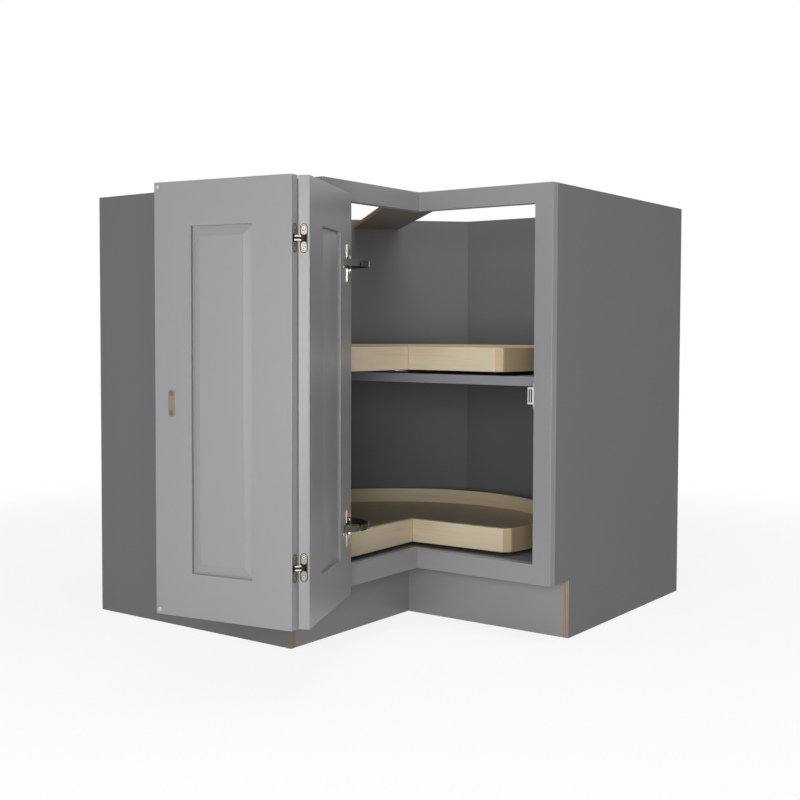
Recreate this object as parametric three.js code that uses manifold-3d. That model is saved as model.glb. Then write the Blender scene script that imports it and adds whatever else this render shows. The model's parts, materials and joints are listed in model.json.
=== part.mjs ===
// Corner carousel base cabinet with a bi-fold door. Millimetres, +Z up.
// Plan coordinates start at the corner where the two walls meet: x runs right along the rear wall,
// y is zero at the rear wall and negative towards the room. The whole part is then moved so that its
// origin is at the foot of the diagonal back, half way along it.
import * as THREE from 'three';
import { mergeVertices } from 'three/addons/utils/BufferGeometryUtils.js';
import Module from 'manifold-3d';

const wasm = await Module();
wasm.setup();

// ---- driving dimensions -------------------------------------------------------------------
const WALL = 914.4;            // along each wall
const DEPTH = 609.6;           // from wall to face-frame front
const HEIGHT = 876.3;
const TOE_HIGH = 114.3;
const TOE_BACK = 76.2;         // toe board behind the face-frame front
const PLY = 12.7;              // sides, backs, cabinet floor, toe boards
const FRAME_THICK = 19.05;
const FRAME_WIDE = 38.1;       // stiles and rails of the face frame
const FLOOR_LIFT = 30.6;       // cabinet floor's top above the toe space
const FLOOR_TOP = TOE_HIGH + FLOOR_LIFT;
const SHELF_TOP = 508.0;
const SHELF_THICK = 19.05;
const SHELF_BACK = 71.1;       // shelf front edge behind the face-frame front
const BRACE_WIDE = 114.3;
const BRACE_THICK = 9.5;
const BRACE_DOWN = 22.9;       // its underside below the top edges

const LEAF_THICK = 19.05;
const LEAF_GAP = 2.5;          // between a closed leaf and the face frame
const STILE_SHOWN = 12.35;     // beside a closed leaf
const TOP_SHOWN = 31.7;        // of the top rail, above a closed leaf
const GAP = 0.3;               // between fitted pieces of a turned group
const FOLD_GAP = 0.4;
const FOLD_OFFSET = 0.2;       // fold axis outside each outer face
const LEAF_WIDE = WALL - STILE_SHOWN - DEPTH - LEAF_GAP - LEAF_THICK - FOLD_GAP;
const LEAF_LOW = TOE_HIGH + GAP;
const LEAF_TOP = HEIGHT - TOP_SHOWN;
const LEAF_FRAME = 0.2773 * LEAF_WIDE;  // stiles and rails of each leaf
const PANEL_EDGE = 6.0;
const PANEL_FIELD = 12.0;
const PANEL_BEVEL = 16.0;
const GROOVE_DEEP = 8.0;

const SWING_OUT = 23.8;        // effective pivot of the cup hinges, before the face-frame front
const SWING_IN = 18.2;         // and inside the cabinet's outer side
const SWING_X = DEPTH + SWING_OUT;
const SWING_Y = -(WALL - SWING_IN);
const SWING_OPEN = 156.23;     // degrees from closed to the stored pose
const FOLD_IN = 14.57;         // degrees folded in from the closed right angle

const HINGE_FROM_END = 126.7;  // cup hinge centre from either end of the leaf
const CUP_FROM_EDGE = 21.5;
const CUP_RADIUS = 17.5;
const CUP_DEEP = 12.0;
const CUP_WALL = 1.2;
const FLANGE_THICK = 1.2;
const FLANGE_HIGH = 66.0;
const FLANGE_WIDE = 26.0;
const PLATE_LONG = 51.0;       // hinge arm's mounting plate on the stile
const PLATE_HIGH = 44.0;
const PLATE_THICK = 1.6;
const PLATE_BACK = 2.6;        // its front end behind the face-frame front
const ARM_LONG = 21.0;
const ARM_WIDE = 12.0;
const ARM_HIGH = 22.0;
const LINK_INNER = 46.0;       // hinge links, as rings about the pivot
const LINK_OUTER = 58.0;
const LINK_CLEAR = 0.8;        // closed links from the leaf and from the mounting plate
const LAYER = 4.0;             // height of each link's own layer
const FOLD_HINGE_FROM_END = 100.5;
const FOLD_HINGE_HIGH = 46.0;
const FOLD_HINGE_WIDE = 11.5;
const FOLD_HINGE_DEEP = 18.0;

const TRAY_BACK = 165.1;       // tray axis behind the face-frame front
const TRAY_CENTRE = DEPTH - TRAY_BACK;
const TRAY_RADIUS = 349.25;
const NOTCH_REACH = 106.5;     // notch faces at home, from the tray axis
const TRAY_NOTCH = TRAY_CENTRE + NOTCH_REACH;
const TRAY_BOARD = 12.7;
const BOARD_SHORT = 1.0;       // mitred board end inside the rim's outer face
const TRAY_RIM = 6.0;
const TRAY_HIGH = 48.0;
const TRAY_FLOOR = 15.0;
const BEARING = 8.3;
const BEARING_SIDE = 152.4;
const BEARING_PLATE = 3.0;
const OUTER_RACE = 66.0;
const INNER_RACE = 56.0;
const RACE_WALL = 5.0;
const LOWER_TURN = 1.6;        // degrees from home in the stored pose
const UPPER_TURN = -2.5;
const TRAY_CLEAR = 24.13;      // between a tray and the diagonal back
const DIAGONAL_CUT = 2 * TRAY_CENTRE - Math.SQRT2 * (TRAY_RADIUS + TRAY_CLEAR + PLY);
const ORIGIN = DIAGONAL_CUT / 2 + PLY * Math.SQRT2 / 4;

const CATCH_MID = 474.5;
const CATCH_HIGH = 47.0;
const CATCH_WIDE = 16.0;
const CATCH_DEEP = 15.1;
const CATCH_FROM_EDGE = 34.6;  // strike centre from the leaf's free edge
const STRIKE_WIDE = 13.0;
const STRIKE_HIGH = 46.0;
const BUMPER_RADIUS = 4.0;
const BUMPER_THICK = 2.0;

// ---- small helpers -------------------------------------------------------------------------
const FRAME_BACK = DEPTH - FRAME_THICK;
const PLY_DIAGONAL = PLY * (Math.SQRT2 - 1);
const paint = new THREE.MeshStandardMaterial({ name: 'grey_paint', color: 0x8e9094, roughness: 0.45 });
const film = new THREE.MeshStandardMaterial({ name: 'grey_film', color: 0x66676a, roughness: 0.6 });
const birch = new THREE.MeshStandardMaterial({ name: 'pale_birch', color: 0xcbb893, roughness: 0.5 });
const nickel = new THREE.MeshStandardMaterial({
  name: 'nickel_steel', color: 0xb8b5ae, metalness: 1, roughness: 0.25,
});
const white = new THREE.MeshStandardMaterial({ name: 'white_plastic', color: 0xdcdcdc, roughness: 0.4 });
const clear = new THREE.MeshStandardMaterial({ name: 'soft_bumper', color: 0xc4c6c6, roughness: 0.3 });

const group = new THREE.Group();
group.name = 'corner_carousel_cabinet';

const solid = (geometry) => {
  const g = geometry.clone();
  g.deleteAttribute('normal');
  g.deleteAttribute('uv');
  const m = mergeVertices(g, 1e-4);
  return new wasm.Manifold(new wasm.Mesh({
    numProp: 3,
    vertProperties: new Float32Array(m.attributes.position.array),
    triVerts: new Uint32Array(m.index.array),
  }));
};
const geometryOf = (manifold) => {
  const mesh = manifold.getMesh();
  const g = new THREE.BufferGeometry();
  g.setAttribute('position', new THREE.BufferAttribute(new Float32Array(mesh.vertProperties), 3));
  g.setIndex(new THREE.BufferAttribute(new Uint32Array(mesh.triVerts), 1));
  g.computeVertexNormals();
  return g;
};
const slab = (points, z0, z1) => {
  const shape = new THREE.Shape(points.map(([x, y]) => new THREE.Vector2(x, y)));
  return new THREE.ExtrudeGeometry(shape, { depth: z1 - z0, bevelEnabled: false, curveSegments: 1 })
    .translate(0, 0, z0);
};
const box = (x0, x1, y0, y1, z0, z1) => new THREE.BoxGeometry(x1 - x0, y1 - y0, z1 - z0)
  .translate((x0 + x1) / 2, (y0 + y1) / 2, (z0 + z1) / 2);
const mirrored = (points) => points.map(([x, y]) => [-y, -x]).reverse();
const add = (name, geometry, material) => {
  const g = geometry.isBufferGeometry ? geometry : geometryOf(geometry);
  const mesh = new THREE.Mesh(g.translate(-ORIGIN, ORIGIN, 0), material);
  mesh.name = name;
  group.add(mesh);
};
const turnAbout = (geometry, x, y, degrees) => geometry
  .translate(-x, -y, 0).rotateZ(THREE.MathUtils.degToRad(degrees)).translate(x, y, 0);
// a rod lying along x, of the given radius, between x0 and x1
const rodAlongX = (radius, x0, x1, y, z, sides = 32) =>
  new THREE.CylinderGeometry(radius, radius, x1 - x0, sides).rotateZ(Math.PI / 2)
    .translate((x0 + x1) / 2, y, z);
const rodAlongY = (radius, y0, y1, x, z, sides = 24) =>
  new THREE.CylinderGeometry(radius, radius, y1 - y0, sides).translate(x, (y0 + y1) / 2, z);

// ---- carcass -------------------------------------------------------------------------------
const sideProfile = new THREE.Shape([
  [0, 0], [0, HEIGHT], [-FRAME_BACK, HEIGHT], [-FRAME_BACK, TOE_HIGH],
  [-(DEPTH - TOE_BACK), TOE_HIGH], [-(DEPTH - TOE_BACK), 0],
].map(([y, z]) => new THREE.Vector2(y, z)));
add('right_side_panel', new THREE.ExtrudeGeometry(sideProfile, { depth: PLY, bevelEnabled: false })
  .applyMatrix4(new THREE.Matrix4().set(0, 0, 1, WALL - PLY, 1, 0, 0, 0, 0, 1, 0, 0, 0, 0, 0, 1)), film);
add('left_side_panel', new THREE.ExtrudeGeometry(sideProfile, { depth: PLY, bevelEnabled: false })
  .applyMatrix4(new THREE.Matrix4().set(-1, 0, 0, 0, 0, 0, 1, -WALL, 0, 1, 0, 0, 0, 0, 0, 1)), film);

const innerCorner = DIAGONAL_CUT + PLY_DIAGONAL;
const backPlan = [[DIAGONAL_CUT, 0], [innerCorner, -PLY], [WALL - PLY, -PLY], [WALL - PLY, 0]];
add('rear_back_panel', slab(backPlan, 0, HEIGHT), film);
add('left_back_panel', slab(mirrored(backPlan), 0, HEIGHT), film);
add('diagonal_back_panel', slab([
  [0, -DIAGONAL_CUT], [PLY, -innerCorner], [innerCorner, -PLY], [DIAGONAL_CUT, 0],
], 0, HEIGHT), film);

add('cabinet_floor', slab([
  [innerCorner, -PLY], [PLY, -innerCorner], [PLY, -(WALL - PLY)], [FRAME_BACK, -(WALL - PLY)],
  [FRAME_BACK, -FRAME_BACK], [WALL - PLY, -FRAME_BACK], [WALL - PLY, -PLY],
], FLOOR_TOP - PLY, FLOOR_TOP), film);
add('fixed_shelf', slab([
  [innerCorner, -PLY], [PLY, -innerCorner], [PLY, -(DEPTH - SHELF_BACK)], [WALL - PLY, -(DEPTH - SHELF_BACK)],
  [WALL - PLY, -PLY],
], SHELF_TOP - SHELF_THICK, SHELF_TOP), paint);

const toeFront = DEPTH - TOE_BACK;
const toePlan = [
  [toeFront, -toeFront], [WALL - PLY, -toeFront], [WALL - PLY, -(toeFront - PLY)],
  [toeFront - PLY, -(toeFront - PLY)],
];
add('right_toe_board', slab(toePlan, 0, FLOOR_TOP - PLY), paint);
add('left_toe_board', slab(mirrored(toePlan), 0, FLOOR_TOP - PLY), paint);

const stilePlan = [
  [WALL - FRAME_WIDE, -DEPTH], [WALL, -DEPTH], [WALL, -FRAME_BACK], [WALL - FRAME_WIDE, -FRAME_BACK],
];
add('right_frame_stile', slab(stilePlan, TOE_HIGH, HEIGHT), paint);
add('left_frame_stile', slab(mirrored(stilePlan), TOE_HIGH, HEIGHT), paint);
const railPlan = [
  [DEPTH, -DEPTH], [WALL - FRAME_WIDE, -DEPTH], [WALL - FRAME_WIDE, -FRAME_BACK],
  [FRAME_BACK, -FRAME_BACK],
];
for (const [level, z] of [['bottom', TOE_HIGH], ['top', HEIGHT - FRAME_WIDE]]) {
  add(`right_${level}_rail`, slab(railPlan, z, z + FRAME_WIDE), paint);
  add(`left_${level}_rail`, slab(mirrored(railPlan), z, z + FRAME_WIDE), paint);
}

const braceSide = BRACE_WIDE / 2 * Math.SQRT1_2;
const braceBack = (DIAGONAL_CUT + PLY * Math.SQRT2) / 2;
add('top_corner_brace', slab([
  [braceBack - braceSide, -(braceBack + braceSide)], [FRAME_BACK - 2 * braceSide, -FRAME_BACK],
  [FRAME_BACK, -FRAME_BACK], [FRAME_BACK, -(FRAME_BACK - 2 * braceSide)],
  [braceBack + braceSide, -(braceBack - braceSide)],
], HEIGHT - BRACE_DOWN, HEIGHT - BRACE_DOWN + BRACE_THICK), film);

// ---- bi-fold door, drawn closed and then opened ---------------------------------------------
// Both leaves are drawn as the left one: across runs from the outer edge to the fold.
const leafInner = DEPTH + LEAF_GAP;
const leafOuter = leafInner + LEAF_THICK;
const foldEdge = leafOuter + FOLD_GAP;
const outerEdge = WALL - STILE_SHOWN;
const foldAxis = leafOuter + FOLD_OFFSET;
const openLeft = (g) => turnAbout(g, SWING_X, SWING_Y, -SWING_OPEN);
const toRight = (g) => {
  g.applyMatrix4(new THREE.Matrix4().set(0, -1, 0, 0, -1, 0, 0, 0, 0, 0, 1, 0, 0, 0, 0, 1));
  const index = g.index.array;
  for (let i = 0; i < index.length; i += 3) [index[i], index[i + 1]] = [index[i + 1], index[i]];
  return openLeft(turnAbout(g, foldAxis, -foldAxis, -FOLD_IN));
};
const indexed = (g) => {
  const copy = g.clone();
  copy.deleteAttribute('normal');
  copy.deleteAttribute('uv');
  const merged = mergeVertices(copy, 1e-4);
  merged.computeVertexNormals();
  return merged;
};
const middle = (leafInner + leafOuter) / 2;
const groove = PANEL_EDGE + 2 * GAP;
const upright = (y0, y1) => solid(box(leafInner, leafOuter, y0, y1, LEAF_LOW, LEAF_TOP));
const panelCut = () => solid(box(
  middle - groove / 2, middle + groove / 2, -(outerEdge - LEAF_FRAME + GROOVE_DEEP),
  -(foldEdge + LEAF_FRAME - GROOVE_DEEP), LEAF_LOW + LEAF_FRAME - GROOVE_DEEP,
  LEAF_TOP - LEAF_FRAME + GROOVE_DEEP));
const crossRail = (z) => solid(box(
  leafInner, leafOuter, -(outerEdge - LEAF_FRAME) + GAP, -(foldEdge + LEAF_FRAME) - GAP,
  z, z + LEAF_FRAME)).subtract(panelCut());
// the panel: thin edge in the groove, bevel on both faces, flat field
const panelSolid = () => {
  const y0 = -(outerEdge - LEAF_FRAME + GROOVE_DEEP - 1);
  const y1 = -(foldEdge + LEAF_FRAME - GROOVE_DEEP + 1);
  const z0 = LEAF_LOW + LEAF_FRAME - GROOVE_DEEP + 1;
  const z1 = LEAF_TOP - LEAF_FRAME + GROOVE_DEEP - 1;
  const ring = (x, inset) => [
    [x, y0 + inset, z0 + inset], [x, y1 - inset, z0 + inset], [x, y1 - inset, z1 - inset],
    [x, y0 + inset, z1 - inset],
  ];
  const shoulder = GROOVE_DEEP - 1;
  const loops = [
    ring(middle - PANEL_FIELD / 2, shoulder + PANEL_BEVEL), ring(middle - PANEL_EDGE / 2, shoulder),
    ring(middle - PANEL_EDGE / 2, 0), ring(middle + PANEL_EDGE / 2, 0),
    ring(middle + PANEL_EDGE / 2, shoulder), ring(middle + PANEL_FIELD / 2, shoulder + PANEL_BEVEL),
  ];
  const index = [0, 2, 1, 0, 3, 2];
  for (let k = 0; k < loops.length - 1; k++) {
    for (let i = 0; i < 4; i++) {
      const [a, b] = [4 * k + i, 4 * k + (i + 1) % 4];
      index.push(a, b, b + 4, a, b + 4, a + 4);
    }
  }
  const last = 4 * (loops.length - 1);
  index.push(last, last + 1, last + 2, last, last + 2, last + 3);
  const g = new THREE.BufferGeometry();
  g.setAttribute('position', new THREE.Float32BufferAttribute(loops.flat(2), 3));
  g.setIndex(index);
  g.computeVertexNormals();
  return g;
};
const hingeHeights = { lower: LEAF_LOW + HINGE_FROM_END, upper: LEAF_TOP - HINGE_FROM_END };
const foldHeights = { lower: LEAF_LOW + FOLD_HINGE_FROM_END, upper: LEAF_TOP - FOLD_HINGE_FROM_END };
const cupY = -(outerEdge - CUP_FROM_EDGE);
// a bar with round ends standing in the fold edge of a leaf
const foldBlock = (z, deep, grow) => {
  const r = FOLD_HINGE_WIDE / 2 + grow;
  const reach = FOLD_HINGE_HIGH / 2 - FOLD_HINGE_WIDE / 2;
  const y1 = -foldEdge;
  let block = solid(box(middle - r, middle + r, y1 - deep, y1, z - reach, z + reach));
  for (const end of [-reach, reach]) {
    block = block.add(solid(rodAlongY(r, y1 - deep, y1, middle, z + end)));
  }
  return block;
};
const foldStile = () => {
  let stile = upright(-(foldEdge + LEAF_FRAME), -foldEdge).subtract(panelCut());
  for (const z of Object.values(foldHeights)) {
    stile = stile.subtract(foldBlock(z, FOLD_HINGE_DEEP + GAP, GAP));
  }
  return stile;
};
const outerStile = (withCups) => {
  let stile = upright(-outerEdge, -(outerEdge - LEAF_FRAME)).subtract(panelCut());
  for (const z of withCups ? Object.values(hingeHeights) : []) {
    const bore = rodAlongX(CUP_RADIUS + GAP, leafInner - 5, leafInner + CUP_DEEP + GAP, cupY, z);
    stile = stile.subtract(solid(bore));
  }
  return stile;
};
for (const [leaf, place] of [['hinged', openLeft], ['free', toRight]]) {
  const pieces = [
    [`${leaf}_leaf_outer_stile`, geometryOf(outerStile(leaf === 'hinged'))],
    [`${leaf}_leaf_fold_stile`, geometryOf(foldStile())],
    [`${leaf}_leaf_bottom_rail`, geometryOf(crossRail(LEAF_LOW))],
    [`${leaf}_leaf_top_rail`, geometryOf(crossRail(LEAF_TOP - LEAF_FRAME))],
    [`${leaf}_leaf_panel`, panelSolid()],
  ];
  for (const [name, geometry] of pieces) add(name, place(geometry), paint);
}

// ---- cup hinges ------------------------------------------------------------------------------
// Arm, three links and the cup's own lug are quarter rings about the pivot, each in a layer of its
// own, so that they fold into a stack when the door is closed and fan out when it is open.
const layerFoot = (z, step) => z + 1.5 * LAYER - step * LAYER;
const pivotDisc = (radius, z0, z1) => solid(new THREE.CylinderGeometry(radius, radius, z1 - z0, 64)
  .rotateX(Math.PI / 2).translate(SWING_X, SWING_Y, (z0 + z1) / 2));
const layer = (z, step) => {
  const [z0, z1] = [layerFoot(z, step), layerFoot(z, step) + LAYER];
  return pivotDisc(LINK_OUTER, z0, z1)
    .subtract(pivotDisc(LINK_INNER, z0 - 1, z1 + 1))
    .intersect(solid(box(SWING_X - 2 * LINK_OUTER, leafInner - LINK_CLEAR,
      stileEdge + PLATE_THICK + LINK_CLEAR, SWING_Y + 2 * LINK_OUTER, z0 - 1, z1 + 1)));
};
const linkNames = ['first', 'second', 'third'];
const stileEdge = -(WALL - FRAME_WIDE);
const [plateEnd, plateStart] = [DEPTH - PLATE_BACK - PLATE_LONG, DEPTH - PLATE_BACK];
const across = leafInner - SWING_X;
const lugEnd = SWING_Y + Math.sqrt(LINK_INNER ** 2 - across ** 2) + 4;
for (const [level, z] of Object.entries(hingeHeights)) {
  const arm = solid(box(plateEnd, plateStart, stileEdge, stileEdge + PLATE_THICK,
    z - PLATE_HIGH / 2, z + PLATE_HIGH / 2))
    .add(solid(box(plateEnd, plateEnd + ARM_LONG, stileEdge + 1, stileEdge + 1 + ARM_WIDE,
      z - ARM_HIGH / 2, z + ARM_HIGH / 2)))
    .add(solid(box(plateEnd + ARM_LONG - 2, SWING_X - LINK_INNER + 6, stileEdge + 1, stileEdge + 8,
      layerFoot(z, 0), layerFoot(z, -1))))
    .add(layer(z, 0));
  add(`${level}_hinge_arm`, arm, nickel);
  linkNames.forEach((name, i) => add(
    `${level}_hinge_${name}_link`,
    turnAbout(geometryOf(layer(z, i + 1)), SWING_X, SWING_Y, -SWING_OPEN * (i + 1) / 4), nickel));
  const flange = [cupY - FLANGE_WIDE / 2, cupY + FLANGE_WIDE / 2, z - FLANGE_HIGH / 2, z + FLANGE_HIGH / 2];
  const cup = solid(rodAlongX(CUP_RADIUS, leafInner, leafInner + CUP_DEEP, cupY, z))
    .add(solid(box(leafInner - FLANGE_THICK, leafInner, ...flange)))
    .add(solid(box(leafInner - 4, leafInner, flange[1] - 3, lugEnd, layerFoot(z, 4), layerFoot(z, 3))))
    .subtract(solid(rodAlongX(CUP_RADIUS - CUP_WALL, leafInner - 5, leafInner + CUP_DEEP - 1, cupY, z)))
    .add(layer(z, 4));
  add(`${level}_hinge_cup`, openLeft(geometryOf(cup)), nickel);
}

// ---- hidden hinges in the fold ----------------------------------------------------------------
const foldHalf = (z) => foldBlock(z, FOLD_HINGE_DEEP, 0).subtract(solid(box(
  middle - 4.4, middle + 4.4, -foldEdge - 13, -foldEdge + 5, z - 4.5, z + 4.5)));
for (const [level, z] of Object.entries(foldHeights)) {
  add(`${level}_fold_hinge_hinged_half`, openLeft(geometryOf(foldHalf(z))), nickel);
  add(`${level}_fold_hinge_free_half`, toRight(geometryOf(foldHalf(z))), nickel);
  // the link lies across the fold on the line that halves it
  const link = box(-8.6, 8.6, -1.2, 1.2, z - 4.5, z + 4.5).rotateZ(Math.PI / 4)
    .translate(foldAxis - 4.6, -foldAxis + 4.6, 0);
  add(`${level}_fold_hinge_link`, openLeft(turnAbout(link, foldAxis, -foldAxis, -FOLD_IN / 2)), nickel);
}

// ---- catch, strike plate and bumpers -----------------------------------------------------------
const catchEdge = WALL - FRAME_WIDE;
const catchFront = -(DEPTH - 0.5);
const [flangeHalf, caseHalf, mouthHalf] = [CATCH_HIGH / 2, CATCH_HIGH / 2 - 7.5, CATCH_HIGH / 2 - 11];
const housing = solid(box(catchEdge - 2, catchEdge, catchFront, catchFront + CATCH_DEEP - 2,
  CATCH_MID - flangeHalf, CATCH_MID + flangeHalf))
  .add(solid(box(catchEdge - CATCH_WIDE, catchEdge - 1, catchFront, catchFront + CATCH_DEEP,
    CATCH_MID - caseHalf, CATCH_MID + caseHalf)))
  .subtract(solid(box(catchEdge - CATCH_WIDE + 2.5, catchEdge - 4.5, catchFront - 5,
    catchFront + CATCH_DEEP - 4, CATCH_MID - mouthHalf, CATCH_MID + mouthHalf)));
add('catch_housing', housing, white);
const magnetMid = catchEdge - (CATCH_WIDE + 2) / 2;
const magnetBack = catchFront + 9.1;
let magnet = solid(box(magnetMid - 1.6, magnetMid + 1.6, catchFront - 0.9, magnetBack,
  CATCH_MID - mouthHalf + 1.5, CATCH_MID + mouthHalf - 1.5));
for (const side of [-1, 1]) {
  magnet = magnet.add(solid(box(
    magnetMid + side * 2.2 - 0.8, magnetMid + side * 2.2 + 0.8, catchFront - 1.3, magnetBack,
    CATCH_MID - mouthHalf + 0.5, CATCH_MID + mouthHalf - 0.5)));
}
add('catch_magnet', magnet, nickel);
const strikeY = -(outerEdge - CATCH_FROM_EDGE);
add('strike_plate', toRight(indexed(box(leafInner - FLANGE_THICK, leafInner,
  strikeY - STRIKE_WIDE / 2, strikeY + STRIKE_WIDE / 2,
  CATCH_MID - STRIKE_HIGH / 2, CATCH_MID + STRIKE_HIGH / 2))), nickel);
for (const [level, z] of [['lower', LEAF_LOW + 8], ['upper', LEAF_TOP - 8]]) {
  add(`${level}_door_bumper`, toRight(indexed(rodAlongX(
    BUMPER_RADIUS, leafInner - BUMPER_THICK, leafInner, -(outerEdge - 7), z, 20))), clear);
}

// ---- carousel trays and their turning bearings ---------------------------------------------------
const square = (half, z0, z1) => box(
  TRAY_CENTRE - half, TRAY_CENTRE + half, -TRAY_CENTRE - half, -TRAY_CENTRE + half, z0, z1);
const disc = (radius, z0, z1, sides = 96) => new THREE.CylinderGeometry(radius, radius, z1 - z0, sides)
  .rotateX(Math.PI / 2).translate(TRAY_CENTRE, -TRAY_CENTRE, (z0 + z1) / 2);
const race = (outer, z0, z1) => solid(disc(outer, z0, z1, 40))
  .subtract(solid(disc(outer - RACE_WALL, z0 - 1, z1 + 1, 40)));
const boardEnd = TRAY_CENTRE - BOARD_SHORT
  + Math.sqrt(TRAY_RADIUS ** 2 - (NOTCH_REACH - TRAY_BOARD) ** 2);
const boardPlan = [
  [TRAY_NOTCH, -TRAY_NOTCH + GAP / 2], [boardEnd - TRAY_BOARD, -TRAY_NOTCH + GAP / 2],
  [boardEnd, -(TRAY_NOTCH - TRAY_BOARD)], [TRAY_NOTCH - TRAY_BOARD, -(TRAY_NOTCH - TRAY_BOARD) + GAP / 2],
].map(([x, y], i) => (i === 0 || i === 3 ? [x + GAP / 2, y - GAP / 2] : [x, y]));
const trays = { lower: [FLOOR_TOP, LOWER_TURN], upper: [SHELF_TOP, UPPER_TURN] };
for (const [level, [base, turn]] of Object.entries(trays)) {
  const low = base + BEARING;
  const place = (m) => turnAbout(m.isBufferGeometry ? m : geometryOf(m), TRAY_CENTRE, -TRAY_CENTRE, turn);
  const quarter = (from) => solid(box(from, 2 * WALL, -2 * WALL, -from, low - GAP, low + TRAY_HIGH + GAP));
  add(`${level}_bearing_base`, solid(square(BEARING_SIDE / 2, base, base + BEARING_PLATE))
    .add(race(OUTER_RACE, base + 2, low - BEARING_PLATE - GAP)), nickel);
  add(`${level}_bearing_top`, place(solid(square(BEARING_SIDE / 2, low - BEARING_PLATE, low))
    .add(race(INNER_RACE, base + BEARING_PLATE + GAP, low - 2))), nickel);
  add(`${level}_tray_floor`, place(solid(disc(TRAY_RADIUS - TRAY_RIM - GAP, low, low + TRAY_FLOOR))
    .subtract(quarter(TRAY_NOTCH - TRAY_BOARD - GAP))), birch);
  add(`${level}_tray_rim`, place(solid(disc(TRAY_RADIUS, low, low + TRAY_HIGH))
    .subtract(solid(disc(TRAY_RADIUS - TRAY_RIM, low - 1, low + TRAY_HIGH + 1)))
    .subtract(quarter(TRAY_NOTCH - TRAY_BOARD - GAP))), birch);
  add(`${level}_tray_right_board`, place(indexed(slab(boardPlan, low, low + TRAY_HIGH))), birch);
  add(`${level}_tray_left_board`, place(indexed(slab(mirrored(boardPlan), low, low + TRAY_HIGH))), birch);
}

export default group;
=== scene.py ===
# Looks of a corner carousel base cabinet with a folding two-leaf door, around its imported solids.
# Lengths are metres in the part's own frame; plan places that come from the drawing are in
# millimetres from the corner of the two walls, as the drawing gives them, and go through room().
import json
import math

import bmesh
import bpy
from mathutils import Matrix, Vector

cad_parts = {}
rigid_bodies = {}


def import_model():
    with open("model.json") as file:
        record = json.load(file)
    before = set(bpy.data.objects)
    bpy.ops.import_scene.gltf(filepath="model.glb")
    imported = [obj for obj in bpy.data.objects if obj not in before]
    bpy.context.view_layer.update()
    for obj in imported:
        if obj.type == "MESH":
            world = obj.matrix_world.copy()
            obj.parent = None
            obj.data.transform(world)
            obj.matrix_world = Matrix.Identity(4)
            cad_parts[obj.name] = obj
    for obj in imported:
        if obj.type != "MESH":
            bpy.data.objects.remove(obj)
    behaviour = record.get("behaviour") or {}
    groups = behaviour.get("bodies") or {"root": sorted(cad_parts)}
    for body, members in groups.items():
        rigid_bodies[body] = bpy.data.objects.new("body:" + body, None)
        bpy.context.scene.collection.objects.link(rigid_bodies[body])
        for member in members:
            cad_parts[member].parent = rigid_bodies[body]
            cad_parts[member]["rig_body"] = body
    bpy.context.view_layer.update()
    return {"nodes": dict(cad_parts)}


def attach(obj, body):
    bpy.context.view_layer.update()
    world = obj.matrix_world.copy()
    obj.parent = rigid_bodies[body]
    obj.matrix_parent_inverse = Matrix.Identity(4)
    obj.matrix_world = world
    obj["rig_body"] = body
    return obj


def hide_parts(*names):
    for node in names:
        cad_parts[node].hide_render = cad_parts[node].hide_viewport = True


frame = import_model()

# ---- sizes shared with the drawing, in millimetres ---------------------------------------------
WALL, DEPTH, HEIGHT = 914.4, 609.6, 876.3
PLY = 12.7
FRAME_WIDE = 38.1
FLOOR_TOP = 144.9
BRACE_DOWN, BRACE_THICK = 22.9, 9.5
ORIGIN = 175.99  # from the corner of the walls to the part's own origin, along each wall
LEAF_INNER = DEPTH + 2.5
LEAF_THICK = 19.05
FOLD_GAP = 0.4
FOLD_EDGE = LEAF_INNER + LEAF_THICK + FOLD_GAP
FOLD_AXIS = LEAF_INNER + LEAF_THICK + FOLD_GAP / 2
OUTER_EDGE = WALL - 12.35
LEAF_LOW, LEAF_TOP = 114.6, 844.6
SWING_X, SWING_Y = 633.4, -896.2
SWING_OPEN, FOLD_IN = 156.23, 14.57  # degrees from the shut door to the pose at rest
HINGE_FROM_END, FOLD_HINGE_FROM_END = 126.7, 100.5
HINGE_HEIGHTS = {"lower": LEAF_LOW + HINGE_FROM_END, "upper": LEAF_TOP - HINGE_FROM_END}
FOLD_HEIGHTS = {"lower": LEAF_LOW + FOLD_HINGE_FROM_END, "upper": LEAF_TOP - FOLD_HINGE_FROM_END}
TRAY_CENTRE = 444.5
TRAY_OUTER_FACE = 0.3475  # metres from a tray's axis; beyond it is the rim's outer face
TRAYS = {"lower": (153.2, 1.6), "upper": (516.3, -2.5)}  # its foot, and its turn in degrees
LEAF_FRAME = 75.01
PANEL_FIELD, PANEL_RECESS = 7.8, 4.3  # a panel's field and its recess, from the leaf's middle
LEAF_MIDDLE = LEAF_INNER + LEAF_THICK / 2
CUP_ACROSS = OUTER_EDGE - 21.5
CATCH_MID = 474.5
CATCH_EDGE = WALL - FRAME_WIDE
STRIKE_ACROSS = OUTER_EDGE - 34.6
ENDS = (("foot", -1), ("top", 1))
SAME_SPOT = 0.000002  # metres; corners nearer than this are one


def room(x, y, z=0.0):
    """A place of the drawing, in the part's frame."""
    return Vector((x - ORIGIN, y + ORIGIN, z)) / 1000


def turn_about(x, y, degrees):
    """A turn about the upright line through a place of the drawing."""
    middle = Matrix.Translation(room(x, y))
    return middle @ Matrix.Rotation(math.radians(degrees), 4, "Z") @ middle.inverted()


OPEN_DOOR = turn_about(SWING_X, SWING_Y, -SWING_OPEN)
FOLD_DOOR = OPEN_DOOR @ turn_about(FOLD_AXIS, -FOLD_AXIS, -FOLD_IN)
OTHER_HAND = Matrix(((0, -1, 0, 0), (-1, 0, 0, 0), (0, 0, 1, 0), (0, 0, 0, 1)))
LEAVES = {"hinged": OPEN_DOOR, "free": FOLD_DOOR @ OTHER_HAND}


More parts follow.
